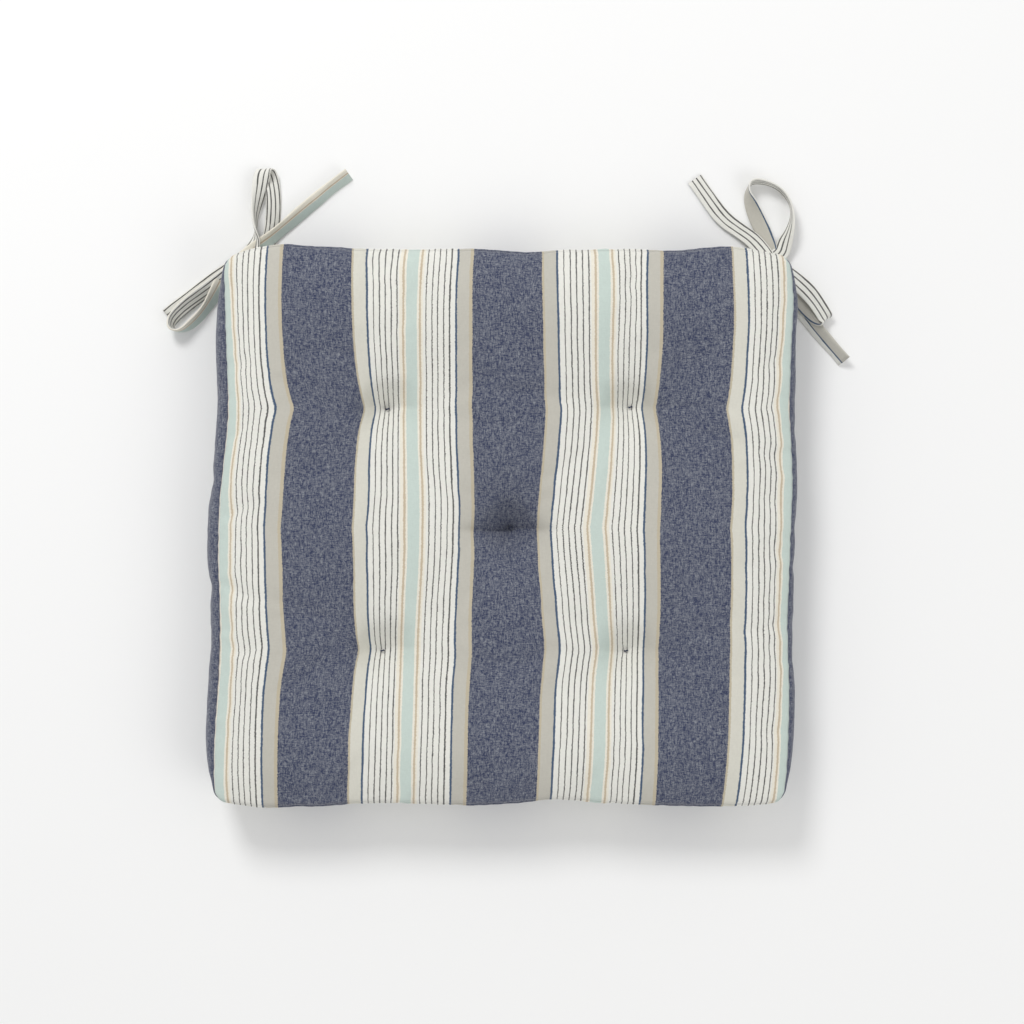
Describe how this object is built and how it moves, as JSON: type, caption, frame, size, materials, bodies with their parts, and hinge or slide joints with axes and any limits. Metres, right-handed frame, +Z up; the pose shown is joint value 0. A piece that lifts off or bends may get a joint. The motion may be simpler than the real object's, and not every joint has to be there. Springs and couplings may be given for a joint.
{
  "type": "chair seat pad",
  "caption": "Square tufted box cushion for a chair seat in striped woven cotton, with a bow of fabric ties at each back corner.",
  "frame": {"origin": "middle of the flat underside, where the pad rests on the seat", "axes": "+Z up from the seat, +Y towards the chair back, where the ties are, +X to the right for someone facing the chair from the front, -Y the front edge"},
  "size_m": [0.4746, 0.4365, 0.055],
  "materials": {
    "striped_cotton": "woven cotton with navy, cream, grey, mint and tan stripes, matt",
    "navy_cotton": "navy stripe of the same woven cotton, matt",
    "tie_cotton": "folded and stitched strip of the same striped cotton, matt",
    "polyester_fibre": "loose white hollow fibre",
    "navy_twine": "waxed cotton twine, matt"
  },
  "bodies": {
    "pad": {"top_panel": "striped_cotton", "bottom_panel": "striped_cotton", "boxing_front": "striped_cotton", "boxing_back": "striped_cotton", "boxing_left": "navy_cotton", "boxing_right": "navy_cotton", "fibre_filling": "polyester_fibre", "tuft_twines": "navy_twine"},
    "left_bow": {"tie_left_under": "tie_cotton", "tie_left_over": "tie_cotton"},
    "right_bow": {"tie_right_under": "tie_cotton", "tie_right_over": "tie_cotton"}
  },
  "joints": [
    {"name": "left_bow_hang", "type": "hinge", "parent": "pad", "child": "left_bow", "pos_m": [-0.16244, 0.16444, 0.0024], "axis": [-0.7071, -0.7071, 0], "range_deg": [0, 90]},
    {"name": "right_bow_hang", "type": "hinge", "parent": "pad", "child": "right_bow", "pos_m": [0.16444, 0.16444, 0.0024], "axis": [-0.7071, 0.7071, 0], "range_deg": [0, 90]}
  ]
}
